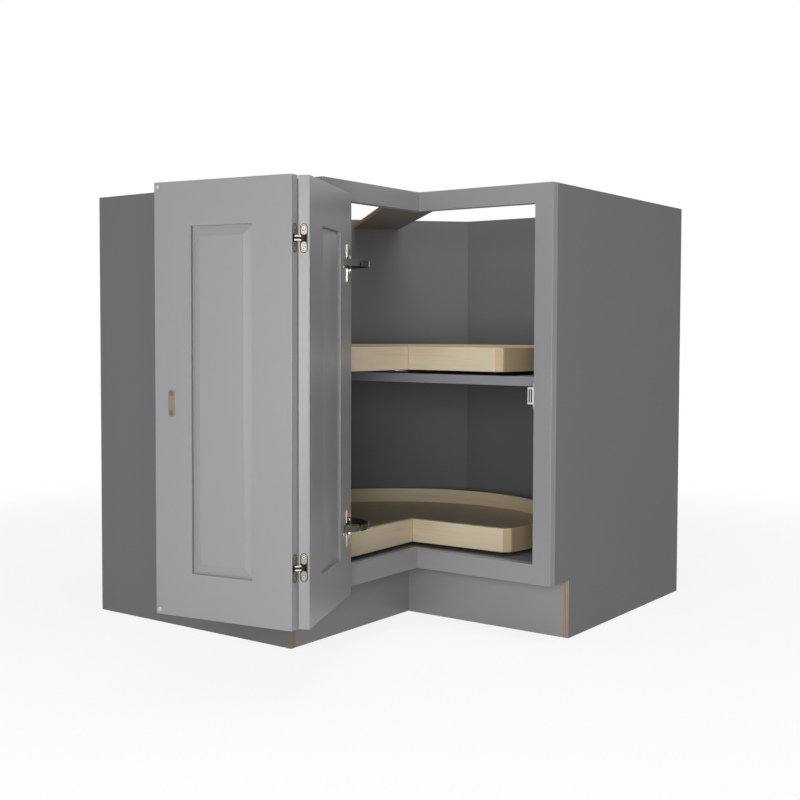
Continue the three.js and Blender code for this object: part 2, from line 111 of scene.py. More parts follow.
def drawn(point, place=Matrix()):
    """Where a point of the part is on the drawing, before its group was put in its place."""
    spot = place.inverted() @ point
    return Vector((spot.x * 1000 + ORIGIN, spot.y * 1000 - ORIGIN, spot.z * 1000))


def facing(x, y, z, out, place=Matrix()):
    """The place of a piece that is modelled at the origin facing up, put at (x, y, z) of the
    drawing and facing the direction out."""
    turn = Vector(out).to_track_quat("Z", "Y").to_matrix().to_4x4()
    return place @ Matrix.Translation(room(x, y, z)) @ turn


# ---- camera and view ---------------------------------------------------------------------------
camera_data = bpy.data.cameras.new("camera")
camera = bpy.data.objects.new("camera", camera_data)
bpy.context.scene.collection.objects.link(camera)
bpy.context.scene.camera = camera
camera_data.lens = 53.38
camera_data.sensor_width = 36.0
camera_data.shift_x = 0.01386
camera_data.shift_y = -0.02113
right, up, forward = (
    Vector((0.8068, 0.5909, 0.0028)),
    Vector((-0.0280, 0.0335, 0.9990)),
    Vector((-0.5902, 0.8061, -0.0436)),
)
camera.matrix_world = Matrix.Translation((1.80554, -2.40811, 0.59625)) @ Matrix(
    (right.normalized(), up.normalized(), -forward.normalized())
).transposed().to_4x4()

bpy.context.scene.view_settings.view_transform = "Standard"


# ---- finishes ----------------------------------------------------------------------------------
def shade(red, green, blue):
    """A colour as a screen shows it, 0 to 255, in the renderer's linear numbers."""
    def linear(c):
        c /= 255
        return c / 12.92 if c <= 0.04045 else ((c + 0.055) / 1.055) ** 2.4
    return (linear(red), linear(green), linear(blue), 1.0)


class Wire:
    """An output of a finish's nodes. Ordinary sums on it add the Math nodes that work them out."""

    def __init__(self, finish, socket):
        self.finish, self.socket = finish, socket

    def sum(self, operation, first, second):
        return self.finish.node("Math", {"operation": operation}, {0: first, 1: second})

    def __add__(self, other):
        return self.sum("ADD", self, other)

    def __radd__(self, other):
        return self.sum("ADD", other, self)

    def __sub__(self, other):
        return self.sum("SUBTRACT", self, other)

    def __rsub__(self, other):
        return self.sum("SUBTRACT", other, self)

    def __mul__(self, other):
        return self.sum("MULTIPLY", self, other)

    def __rmul__(self, other):
        return self.sum("MULTIPLY", other, self)

    def __truediv__(self, other):
        return self.sum("DIVIDE", self, other)

    def __mod__(self, other):
        return self.sum("FLOORED_MODULO", self, other)

    def __lt__(self, other):
        return self.sum("LESS_THAN", self, other)

    def __gt__(self, other):
        return self.sum("GREATER_THAN", self, other)

    def __abs__(self):
        return self.sum("ABSOLUTE", self, 0.0)


class Finish:
    """A material, and the nodes that make it."""

    def __init__(self, name, **numbers):
        self.material = bpy.data.materials.new(name)
        self.material.use_nodes = True
        self.tree = self.material.node_tree
        self.shader = self.tree.nodes["Principled BSDF"]
        for socket, value in numbers.items():
            self.set(**{socket: value})
        self.place = self.node("TexCoord", out="Object")
        self.facing = self.node("TexCoord", out="Normal")

    def node(self, kind, settings=None, inputs=None, out=0):
        """A new node of a kind: its settings first, a ramp's stops among them, then its sockets."""
        made = self.tree.nodes.new("ShaderNode" + kind)
        for name, value in (settings or {}).items():
            if name == "stops":
                ramp = made.color_ramp.elements
                ramp[0].position, ramp[0].color = value[0]
                ramp[1].position, ramp[1].color = value[-1]
                for position, colour in value[1:-1]:
                    ramp.new(position).color = colour
            else:
                setattr(made, name, value)
        for name, value in (inputs or {}).items():
            self.join(made.inputs[name], value)
        return Wire(self, made.outputs[out])

    def join(self, socket, value):
        if isinstance(value, Wire):
            self.tree.links.new(value.socket, socket)
        else:
            socket.default_value = value

    def set(self, **values):
        """Sets or joins the shader's own sockets, such as Base_Color."""
        for socket, value in values.items():
            self.join(self.shader.inputs[socket.replace("_", " ")], value)

    def noise(self, vector, scale, detail=2.0, roughness=0.5):
        return self.node("TexNoise", None, {
            "Vector": vector, "Scale": scale, "Detail": detail, "Roughness": roughness,
        })

    def blend(self, first, second, share):
        """One colour turning into another."""
        return self.node("Mix", {"data_type": "RGBA"}, {0: share, 6: first, 7: second}, out=2)

    def rise(self, value, low, high):
        """Black below one level of a value, white above the other."""
        stops = [(low, (0, 0, 0, 1)), (high, (1, 1, 1, 1))]
        return self.node("ValToRGB", {"stops": stops}, {0: value})

    def stretched(self, size, degrees=0.0, centre=(0, 0, 0)):
        """The place, turned in plan and measured in the given sizes along its three directions."""
        return self.node("Mapping", {"vector_type": "TEXTURE"}, {
            "Vector": self.place, "Location": centre,
            "Rotation": (0, 0, math.radians(degrees)), "Scale": size,
        })

    def vector(self, operation, *inputs, out=0):
        """Vector maths on one or two inputs. A length or a dot product comes out at Value."""
        return self.node("VectorMath", {"operation": operation}, dict(enumerate(inputs)), out)

    def along(self, axis):
        """How far the place lies along an axis, in metres."""
        return self.vector("DOT_PRODUCT", self.place, axis, out="Value")

    def edge_mask(self, axis):
        """1 on the faces that look across an axis, a board's edges, and 0 on its two faces."""
        return abs(self.vector("DOT_PRODUCT", self.facing, axis, out="Value")) < 0.5

    def bumps(self, height, depth):
        """Relief from a height of 0 to 1, so many metres deep."""
        self.set(Normal=self.node("Bump", None, {
            "Strength": 1.0, "Distance": depth, "Height": height,
        }))


PAINT = shade(141, 141, 143)
PAINT_SHADED = shade(137, 137, 139)
FILM = shade(116, 116, 118)
FILM_DARK = shade(110, 110, 112)
PLY_LIGHT = shade(178, 158, 138)
PLY_DARK = shade(118, 98, 82)
BIRCH_LIGHT = shade(216, 204, 181)
BIRCH_MID = shade(204, 188, 158)
BIRCH_DARK = shade(188, 164, 124)
BIRCH_END = shade(186, 162, 124)
BIRCH_WARM = shade(214, 184, 152)
BIRCH_FLECK = shade(168, 138, 98)
# painted shade for a tray rim's outer face
BIRCH_RIM_SHADE = shade(150, 132, 103)
SHELF_BAND = shade(140, 141, 146)
CUP_BRIGHT = shade(236, 233, 226)
CUP_DARK = shade(58, 54, 49)


def painted(name, size, degrees=0.0):
    """Satin grey paint over hardwood: the grain just shows through, stretched along the board."""
    finish = Finish(name, Specular_IOR_Level=0.45)
    cloud = finish.noise(finish.place, 3.5, 3)
    grain = finish.noise(finish.stretched(size, degrees), 1.0, 4, 0.6)
    spray = finish.noise(finish.place, 900.0, 2)
    finish.set(
        Base_Color=finish.blend(PAINT_SHADED, PAINT, cloud * 0.7 + grain * 0.4),
        Roughness=0.28 + 0.08 * grain + 0.05 * spray,
    )
    finish.bumps(grain * 0.55 + spray * 0.45, 0.00003)
    return finish.material


def filmed(name, axis, start=0.0, plies=7, thickness=PLY, band=None):
    """Matt dark film on the two faces of a panel. Its edges are a band, or raw plywood whose plies
    begin at start, in millimetres along the axis."""
    finish = Finish(name, Specular_IOR_Level=0.35)
    edge = finish.edge_mask(axis)
    cloud = finish.noise(finish.place, 5.0, 3)
    fibre = finish.noise(finish.stretched((0.003, 0.003, 0.03)), 1.0, 4, 0.65)
    face = finish.blend(FILM_DARK, FILM, cloud * 0.5 + fibre * 0.5)
    if band is None:
        layer = (finish.along(axis) * 1000 - start) / thickness * plies
        odd = (layer % 2.0) > 1.0
        grit = finish.noise(finish.stretched((0.0012, 0.0012, 0.0012)), 1.0, 3, 0.7)
        raw = finish.blend(PLY_LIGHT, PLY_DARK, odd * 0.55 + grit * 0.45)
        finish.set(Roughness=0.52 + edge * 0.3 + fibre * 0.08)
        finish.bumps(fibre * 0.3 + edge * (grit * 0.6 - odd * 0.3), 0.00015)
    else:
        raw = band
        finish.set(Roughness=0.5 - edge * 0.08 + fibre * 0.06)
        finish.bumps(fibre, 0.00006)
    finish.set(Base_Color=finish.blend(face, raw, edge))
    return finish.material


def birch(name, grain, ripple, tint=0.0, shaded_outside=None, end=None, warm=0.0):
    """Lacquered pale birch: long soft grain lines, darker streaks and short fine pores. A tray
    rim's outer face can be darkened as painted shade.
    """
    finish = Finish(name, Specular_IOR_Level=0.4, Coat_Weight=0.12, Coat_Roughness=0.25)
    lines = grain(finish)
    bands = finish.noise(lines, 1.0, 3, 0.5)
    finer = finish.vector("MULTIPLY", lines, (1, ripple, ripple))
    threads = finish.noise(finer, 2.2, 3, 0.55)
    pores = finish.noise(finish.vector("MULTIPLY", lines, (9, 7, 7)), 1.6, 2, 0.5)
    cloud = finish.noise(finish.place, 7.0, 3)
    streak = finish.rise(bands, 0.55, 0.68)
    fleck = finish.rise(pores, 0.6, 0.75)
    pale = finish.blend(BIRCH_LIGHT, BIRCH_MID, threads * 0.9 + cloud * 0.6 - 0.3 + tint)
    wood_tone_and_shade = finish.blend(pale, BIRCH_DARK, streak * (0.32 + tint * 0.5))
    wood_tone_and_shade = finish.blend(wood_tone_and_shade, BIRCH_WARM, warm)
    # painted shade: beyond TRAY_OUTER_FACE from the axis, a tray rim's outer face is darkened for
    # the shade of the right side and stile
    if shaded_outside:
        from_axis = finish.vector("SUBTRACT", finish.place, room(TRAY_CENTRE, -TRAY_CENTRE))
        level = finish.vector("MULTIPLY", from_axis, (1, 1, 0))
        distance = finish.vector("LENGTH", level, out="Value")
        wood_tone_and_shade = finish.blend(wood_tone_and_shade, shaded_outside, (distance > TRAY_OUTER_FACE) * 0.85)
    if end:
        to_end = finish.vector("DOT_PRODUCT", finish.facing, end, out="Value")
        wood_tone_and_shade = finish.blend(wood_tone_and_shade, BIRCH_END, (to_end > 0.9) * 0.8)
    finish.set(
        Base_Color=finish.blend(wood_tone_and_shade, BIRCH_FLECK, fleck * 0.16),
        Roughness=0.36 + 0.12 * bands,
    )
    finish.bumps(threads * 0.4 + pores * 0.6, 0.00008)
    return finish.material


def straight_grain(size, degrees, centre):
    return lambda finish: finish.stretched(size, degrees, centre)


def bent_grain(finish):
    """Grain that runs round the tray: the way round, the height and the distance from the axis."""
    axis = room(TRAY_CENTRE, -TRAY_CENTRE)
    parts = finish.tree.nodes.new("ShaderNodeSeparateXYZ")
    finish.tree.links.new(finish.place.socket, parts.inputs[0])
    x, y, z = (Wire(finish, out) for out in parts.outputs)
    across, back = x - axis.x, y - axis.y
    way = finish.node("Math", {"operation": "ARCTAN2"}, {0: back, 1: across})
    return finish.node("CombineXYZ", None, {"X": way * 1.6, "Y": z * 150, "Z": 0.3})


def nickel(name, colour, rough, dark_past=None):
    """Nickel plate: fine drawn lines, faint cloudy dulling. Where a direction and a level are
    given, it's dark beyond that level."""
    finish = Finish(name, Metallic=1.0)
    lines = finish.noise(finish.stretched((0.0002, 0.0002, 0.006)), 1.0, 3, 0.6)
    cloud = finish.noise(finish.place, 60.0, 3)
    plate = finish.blend(colour, tuple(0.62 * c for c in colour[:3]) + (1,), cloud * 0.5)
    if dark_past:
        plate = finish.blend(plate, CUP_DARK, finish.along(dark_past[0]) > dark_past[1])
    finish.set(Base_Color=plate, Roughness=rough + 0.16 * cloud + 0.06 * lines)
    finish.bumps(lines, 0.00002)
    return finish.material


def moulded(name, colour, rough):
    """Moulded plastic with a fine spark-eroded skin."""
    finish = Finish(name, Specular_IOR_Level=0.5)
    skin = finish.noise(finish.place, 1800.0, 2)
    cloud = finish.noise(finish.place, 40.0, 2)
    finish.set(
        Base_Color=finish.blend(colour, tuple(0.93 * c for c in colour[:3]) + (1,), cloud),
        Roughness=rough + 0.12 * skin,
    )
    finish.bumps(skin, 0.00003)
    return finish.material


UPRIGHT = (0.012, 0.012, 0.5)
LEAF_ANGLES = {"hinged": 90 - SWING_OPEN, "free": -SWING_OPEN - FOLD_IN}
PAINT_UPRIGHT = painted("grey_paint_upright", UPRIGHT)
PAINT_RIGHT = painted("grey_paint_along_right", (0.5, 0.012, 0.012))
PAINT_LEFT = painted("grey_paint_along_left", (0.012, 0.5, 0.012))
PAINT_LEAF = {
    leaf: painted(f"grey_paint_along_{leaf}_leaf", (0.5, 0.012, 0.012), angle)
    for leaf, angle in LEAF_ANGLES.items()
}
NICKEL = nickel("nickel_plate", shade(186, 182, 174), 0.24)
NICKEL_ARM = nickel("nickel_arm", shade(112, 109, 104), 0.26)
NICKEL_SCREW = nickel("nickel_screw", shade(232, 229, 222), 0.16)
FOLD_NICKEL = nickel("fold_nickel", shade(140, 137, 131), 0.34)
FOLD_SCREW = nickel("fold_screw", shade(186, 182, 175), 0.3)
STRIKE_NICKEL = nickel("strike_nickel", shade(146, 134, 120), 0.42)
# dark steel on the cups' spring boxes; on the screws' hole discs and the fold hinges' halves, the
# plates round them and the link cores it is painted shade
DARK_STEEL_AND_SHADE = nickel("dark_steel_and_painted_shade", shade(62, 58, 53), 0.34)
DARK_NICKEL = nickel("dark_nickel", shade(88, 84, 78), 0.34)
# near black for the catch's pole plates: painted shade of the slots beside its magnet
CATCH_POLE_SHADE = moulded("catch_pole_painted_shade", shade(26, 26, 27), 0.5)
WHITE_PLASTIC = moulded("white_plastic", shade(214, 215, 214), 0.38)
CLEAR_BUMPER = moulded("clear_bumper", shade(176, 177, 179), 0.2)


# ---- small modelling helpers -------------------------------------------------------------------
def alone(piece):
    """Selects one piece and nothing else."""
    bpy.ops.object.select_all(action="DESELECT")
    piece.select_set(True)
    bpy.context.view_layer.objects.active = piece
    return piece


def added(name):
    """The primitive just added, under its own name."""
    piece = bpy.context.object
    piece.name = piece.data.name = name
    return alone(piece)


def settled(piece):
    """Puts the piece's place into its mesh, so that its object sits at the origin."""
    alone(piece)
    bpy.ops.object.transform_apply(location=True, rotation=True, scale=True)
    return piece


def shaped(piece, kind, **settings):
    """Adds a modifier to the piece and applies it."""
    alone(piece)
    modifier = piece.modifiers.new(kind.lower(), kind)
    for name, value in settings.items():
        setattr(modifier, name, value)
    bpy.ops.object.modifier_apply(modifier=modifier.name)
    return piece


def eased(piece, width, segments=2, angle=30):
    """Takes the arrises off."""
    return shaped(piece, "BEVEL", width=width, segments=segments, limit_method="ANGLE",
                  angle_limit=math.radians(angle), harden_normals=True)


def smooth(piece, angle=35):
    alone(piece)
    bpy.ops.object.shade_smooth_by_angle(angle=math.radians(angle))
    return piece


def cut_box(piece, sizes, middle=(0, 0, 0), degrees=0):
    """Takes a box out of a piece: its sizes and middle in metres, turned in plan."""
    bpy.ops.mesh.primitive_cube_add(size=1, location=middle, rotation=(0, 0, math.radians(degrees)))
    box = bpy.context.object
    box.scale = sizes
    settled(box)
    shaped(piece, "BOOLEAN", object=box, operation="DIFFERENCE", solver="EXACT")
    bpy.data.objects.remove(box, do_unlink=True)
    return piece


def choose_faces(test):
    """In edit mode, selects only the faces whose middle passes the test."""
    mesh = bmesh.from_edit_mesh(bpy.context.object.data)
    bpy.ops.mesh.select_all(action="DESELECT")
    for face in mesh.faces:
        face.select_set(test(face.calc_center_median()))
    bmesh.update_edit_mesh(bpy.context.object.data)


def fitted(piece, body, finish, slot, *stands_for):
    """Gives a piece its finish, its body and the nodes that it stands for. Its slot is not used."""
    piece.data.materials.clear()
    piece.data.materials.append(finish)
    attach(piece, body)
    if stands_for:
        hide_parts(*stands_for)
    return piece


def copied(master, name, place, body, finish, slot, *stands_for):
    """A copy of a master piece with its own mesh, put in its place."""
    piece = bpy.data.objects.new(name, master.data.copy())
    piece.data.name = name
    bpy.context.scene.collection.objects.link(piece)
    piece.data.transform(place)
    if place.determinant() < 0:
        piece.data.flip_normals()
    return fitted(piece, body, finish, slot, *stands_for)


def dropped(*masters):
    """Takes the masters away, once their copies are made."""
    for master in masters:
        bpy.data.objects.remove(master, do_unlink=True)


def body_of(node):
    return frame["nodes"][node]["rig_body"]


def node_again(node, name):
    """A copy of a CAD node's mesh in a new piece. The node's own mesh stays as it is."""
    piece = bpy.data.objects.new(name, frame["nodes"][node].data.copy())
    bpy.context.scene.collection.objects.link(piece)
    return alone(piece)


def join_flats():
    """In edit mode, joins corners on one spot and the triangles of each flat face."""
    bpy.ops.mesh.select_all(action="SELECT")
    bpy.ops.mesh.remove_doubles(threshold=SAME_SPOT)
    bpy.ops.mesh.dissolve_limited(angle_limit=math.radians(1))


def softened(node, width, finish, slot, edges=None, lengthen=None, segments=2, cut=None):
    """A node again, with its arrises taken off as sanding leaves them: all, or only those whose two
    ends pass the test. One that is lengthened grows that much, in metres, along a direction. One
    that is cut loses what lies beyond the plane through a place, across a direction."""
    piece = node_again(node, f"{node}_eased")
    bpy.ops.object.mode_set(mode="EDIT")
    join_flats()
    if cut:
        bpy.ops.mesh.select_all(action="SELECT")
        bpy.ops.mesh.bisect(plane_co=cut[0], plane_no=cut[1], use_fill=True, clear_outer=True)
    bpy.ops.object.mode_set(mode="OBJECT")
    corners = [v.co for v in piece.data.vertices]
    if lengthen:
        reach = [v.dot(lengthen.normalized()) for v in corners]
        near, far = min(reach), max(reach)
        share = 1 + lengthen.length / (far - near)
        for corner, at in zip(corners, reach):
            corner += lengthen.normalized() * (at - (near + far) / 2) * (share - 1)
    smooth(piece)
    if edges:
        weights = piece.data.attributes.new("bevel_weight_edge", "FLOAT", "EDGE")
        for edge in piece.data.edges:
            weights.data[edge.index].value = edges(*(corners[v] for v in edge.vertices))
        shaped(piece, "BEVEL", width=width, segments=segments, limit_method="WEIGHT")
        shaped(piece, "WEIGHTED_NORMAL", weight=100, keep_sharp=True)
    else:
        eased(piece, width, segments)
    return fitted(piece, body_of(node), finish, slot, node)


# ---- carcass -----------------------------------------------------------------------------------
bpy.ops.object.select_all(action="DESELECT")
OUT = Vector((1, 0, 0))
BACK = Vector((0, 1, 0))
UP = Vector((0, 0, 1))
DIAGONAL = Vector((-1, 1, 0)).normalized()
PANELS = {
    "right_side_panel": (OUT, WALL - PLY - ORIGIN),
    "left_side_panel": (-BACK, WALL - PLY - ORIGIN),
    "rear_back_panel": (BACK, ORIGIN - PLY),
    "left_back_panel": (-OUT, ORIGIN - PLY),
    "diagonal_back_panel": (DIAGONAL, -PLY / 2),
    "cabinet_floor": (UP, FLOOR_TOP - PLY),
}
for panel, (axis, start) in PANELS.items():
    softened(panel, 0.0004, filmed(f"grey_film_{panel}", axis, start), "grey_film")
softened(
    "top_corner_brace", 0.0004,
    filmed("grey_film_top_corner_brace", UP, HEIGHT - BRACE_DOWN, 5, BRACE_THICK), "grey_film",
)
softened("fixed_shelf", 0.0005, filmed("grey_film_fixed_shelf", UP, band=SHELF_BAND), "grey_paint")


def off_joint(*ends):
    """Not an edge in the mitre of the two faces, nor where a rail butts against its stile."""
    spots = [drawn(end) for end in ends]
    for joint in (lambda p: p.x + p.y, lambda p: p.x - CATCH_EDGE, lambda p: p.y + CATCH_EDGE):
        if all(abs(joint(spot)) < 0.4 for spot in spots):
            return 0.0
    return 1.0


for side, across in [("right", PAINT_RIGHT), ("left", PAINT_LEFT)]:
    softened(f"{side}_frame_stile", 0.0008, PAINT_UPRIGHT, "grey_paint", off_joint)
    for board in ["bottom_rail", "top_rail"]:
        softened(f"{side}_{board}", 0.0006, across, "grey_paint", off_joint)
    softened(f"{side}_toe_board", 0.0004, across, "grey_paint")


# ---- door --------------------------------------------------------------------------------------
def leaf_arris(leaf):
    """The outer arrises of a leaf. Those in its boards' joints and round its panel stay crisp."""
    sides, levels = (OUTER_EDGE, FOLD_EDGE), (LEAF_LOW, LEAF_TOP)
    joints = (OUTER_EDGE - LEAF_FRAME, FOLD_EDGE + LEAF_FRAME)

    def test(first, second):
        ends = [drawn(end, LEAVES[leaf]) for end in (first, second)]
        middle = (ends[0] + ends[1]) / 2
        inner, outer = middle.x - LEAF_INNER, middle.x - LEAF_INNER - LEAF_THICK
        on_face = min(abs(inner), abs(outer)) < 0.4
        at_side = min(abs(middle.y + side) for side in sides) < 0.4
        at_level = min(abs(middle.z - level) for level in levels) < 0.4
        at_joint = min(abs(middle.y + joint) for joint in joints) < 0.8
        return float(on_face and (at_side or at_level) or at_side and at_level and not at_joint)
    return test


def raised_panel(leaf, place):
    """The panel with a fuller slope and a small step round its field, on both faces."""
    node = f"{leaf}_leaf_panel"
    panel = node_again(node, f"{node}_stepped")
    for vertex in panel.data.vertices:
        spot = drawn(vertex.co, place)
        off = spot.x - LEAF_MIDDLE
        fuller = PANEL_FIELD if abs(off) > 4.5 else PANEL_RECESS
        spot.x = LEAF_MIDDLE + math.copysign(fuller, off)
        vertex.co = place @ room(*spot)
    bpy.ops.object.mode_set(mode="EDIT")
    join_flats()
    choose_faces(
        lambda middle: abs(abs(drawn(middle, place).x - LEAF_MIDDLE) - PANEL_FIELD) < 0.1)
    bpy.ops.mesh.inset(thickness=0.0006, depth=0.0009, use_individual=True)
    bpy.ops.object.mode_set(mode="OBJECT")
    smooth(panel, 4)
    eased(panel, 0.0003, 2, 20)
    fitted(panel, body_of(node), PAINT_UPRIGHT, "grey_paint", node)


for leaf, place in LEAVES.items():
    for board in ["outer_stile", "fold_stile"]:
        softened(f"{leaf}_leaf_{board}", 0.0009, PAINT_UPRIGHT, "grey_paint", leaf_arris(leaf),
                 segments=3)
    for board in ["bottom_rail", "top_rail"]:
        softened(f"{leaf}_leaf_{board}", 0.0009, PAINT_LEAF[leaf], "grey_paint", leaf_arris(leaf),
                 lengthen=place.to_3x3() @ Vector((0, 0.0006, 0)), segments=3)
    raised_panel(leaf, place)


# Countersunk screws: a bright head with a cross in it, over a dark disc of painted shadow in its
# hole. One of each is modelled at the origin facing up, then copied.
def screw(name, radius):
    """A screw's head, with the two slots of its cross."""
    bpy.ops.mesh.primitive_cylinder_add(
        vertices=28, radius=radius, depth=0.0012, location=(0, 0, -0.0004))
    head = eased(smooth(settled(added(name))), 0.0003, 2, 50)
    for degrees in (25, 115):
        cut_box(head, (radius * 1.25, radius * 0.28, 0.0012), (0, 0, 0.0003), degrees)
    return head


def painted_hole_shadow(name, radius):
    """A dark disc under a screw's head: painted shadow in its hole."""
    bpy.ops.mesh.primitive_cylinder_add(
        vertices=28, radius=radius, depth=0.0007, location=(0, 0, -0.00028))
    return smooth(settled(added(name)))


MASTERS = {
    "screw": screw("screw_master", 0.0031), "painted_hole_shadow": painted_hole_shadow("painted_hole_shadow_master", 0.0038),
    "big_screw": screw("big_screw_master", 0.0036), "hub": screw("hub_master", 0.0048),
}


def screwed(name, place, body, slot="nickel_steel", kind="screw", finish=NICKEL_SCREW):
    """A screw of a kind, over a dark disc of painted shadow in its hole."""
    copied(MASTERS["painted_hole_shadow"], f"{name}_hole_shadow_disc", place, body, DARK_STEEL_AND_SHADE, slot)
    copied(MASTERS[kind], name, place, body, finish, slot)


def strap(name, length, width, thick):
    """A plate with round ends, facing up with its face at the origin's level, long way along Y."""
    bpy.ops.mesh.primitive_cube_add(size=1, location=(0, 0, -thick / 2))
    plate = added(name)
    plate.scale = (width, length, thick)
    settled(plate)
    ends = plate.data.attributes.new("bevel_weight_edge", "FLOAT", "EDGE")
    for edge in plate.data.edges:
        first, second = (plate.data.vertices[v].co for v in edge.vertices)
        ends.data[edge.index].value = float(abs(first.z - second.z) > thick / 2)
    shaped(plate, "BEVEL", width=width * 0.49, segments=8, limit_method="WEIGHT")
    plate.data.attributes.remove(plate.data.attributes["bevel_weight_edge"])
    return eased(smooth(plate), 0.0004, 2, 50)


def bar(name, sizes, place, body, finish, slot="nickel_steel", ease=0.0003, stands_for=()):
    """A small block with eased edges, its middle at the place."""
    bpy.ops.mesh.primitive_cube_add(size=1)
    block = added(name)
    block.scale = Vector(sizes) / 1000
    block = eased(smooth(settled(block)), ease)
    block.data.transform(place)
    return fitted(block, body, finish, slot, *stands_for)


# ---- hinges ------------------------------------------------------------------------------------
INWARD = (-1, 0, 0)   # out of a leaf's inner face, as the leaf is drawn
FOLDWARD = (0, 1, 0)  # out of its fold edge
SHELLS = ("arm", "first_link", "second_link", "third_link", "cup")
SHELL_OUTER, SHELL_STEP = 59.4, 2.6  # the outermost shell's radius, and from one to the next
SHELL_THICK, SHELL_HIGH = 0.0022, 0.0112
OFF_PLATE, OFF_LEAF = 22.6, 22.3  # from the pivot to the shells' ends, clear of plate and leaf
CUP_SCREW, LUG_ACROSS = 24, 859.3
ARM_PLATE_FRONT, ARM_PLATE_LONG, ARM_PLATE_THICK = DEPTH - 2.6, 51, 1.6
ARM_PLATE_SCREW, ARM_TOP = 17, 13.4
FOLD_PLATE = 14.1
FOLD_BAR_ALONG, FOLD_BAR_RISE = 0.0029, 3.1


def link_shell(name, radius, z, step, node):
    """A hinge link as a tall curved strap about the pivot; the five nest one inside the other and
    fan out by a quarter of the swing each."""
    begin = 180 - math.degrees(math.asin(OFF_PLATE / radius))
    end = 180 - math.degrees(math.acos(OFF_LEAF / radius))
    bpy.ops.mesh.primitive_plane_add(
        size=1, location=(radius / 1000, 0, 0), rotation=(math.pi / 2, 0, 0))
    shell = added(name)
    shell.scale = (SHELL_THICK, SHELL_HIGH, 1)
    settled(shell)
    bpy.ops.object.mode_set(mode="EDIT")
    bpy.ops.mesh.select_all(action="SELECT")
    bpy.ops.mesh.spin(
        steps=10, angle=math.radians(begin - end), center=(0, 0, 0), axis=(0, 0, 1))
    bpy.ops.mesh.select_all(action="SELECT")
    bpy.ops.mesh.remove_doubles(threshold=SAME_SPOT)
    bpy.ops.mesh.normals_make_consistent(inside=False)
    bpy.ops.object.mode_set(mode="OBJECT")
    eased(smooth(shell), 0.0005, 2, 50)
    middle = math.radians((begin + end) / 2 - SWING_OPEN * step / 4)
    spun = sum((v.co for v in shell.data.vertices), Vector()) / len(shell.data.vertices)
    turn = Matrix.Rotation(middle - math.atan2(spun.y, spun.x), 4, "Z")
    shell.data.transform(Matrix.Translation(room(SWING_X, SWING_Y, z)) @ turn)
    return fitted(shell, body_of(node), DARK_NICKEL, "nickel_steel", node)


# cup hinges
for level, z in HINGE_HEIGHTS.items():
    node = f"{level}_hinge_cup"
    out = OPEN_DOOR.to_3x3() @ Vector(INWARD)
    flange_face = (OPEN_DOOR @ room(LEAF_INNER - 1.5, -CUP_ACROSS)).dot(out)
    softened(node, 0.0004, nickel(f"{level}_cup_nickel", CUP_BRIGHT, 0.2, (out, flange_face)),
             "nickel_steel", cut=(OPEN_DOOR @ room(LEAF_INNER - 1.4, -CUP_ACROSS, z), out))
    leaf_body, stile_body = body_of(node), body_of(f"{level}_hinge_arm")
    for end, sign in ENDS:
        at = facing(LEAF_INNER - 1.2, -CUP_ACROSS, z + sign * CUP_SCREW, INWARD, OPEN_DOOR)
        screwed(f"{level}_cup_screw_{end}", at, leaf_body)
    bar(f"{level}_cup_spring_box", (9, 15, 21),
        OPEN_DOOR @ Matrix.Translation(room(LEAF_INNER + 5, -CUP_ACROSS - 3, z)),
        leaf_body, DARK_STEEL_AND_SHADE, ease=0.0012)
    copied(MASTERS["hub"], f"{level}_cup_hub",
           facing(LEAF_INNER - 2.0, -CUP_ACROSS + 4, z, INWARD, OPEN_DOOR),
           leaf_body, NICKEL_SCREW, "nickel_steel")
    bar(f"{level}_cup_lug", (3.0, 13.4, 10.4),
        OPEN_DOOR @ Matrix.Translation(room(LEAF_INNER - 1.5, -LUG_ACROSS, z)),
        leaf_body, DARK_NICKEL, ease=0.0005)
    softened(f"{level}_hinge_arm", 0.0005, NICKEL_ARM, "nickel_steel",
             cut=(room(DEPTH, -CATCH_EDGE + ARM_TOP, z), BACK))
    for end, sign in ENDS:
        screwed(f"{level}_mounting_screw_{end}",
                facing(ARM_PLATE_FRONT - 25, -CATCH_EDGE + ARM_PLATE_THICK,
                       z + sign * ARM_PLATE_SCREW, BACK),
                stile_body)
    for along in (6, 15):
        screwed(f"{level}_adjusting_screw_{along}",
                facing(ARM_PLATE_FRONT - ARM_PLATE_LONG + along, -CATCH_EDGE + 13, z, BACK),
                stile_body, kind="big_screw")
    for step, link in enumerate(SHELLS):
        link_shell(f"{level}_{link}_shell", SHELL_OUTER - SHELL_STEP * step, z, step,
                   f"{level}_hinge_{link}")

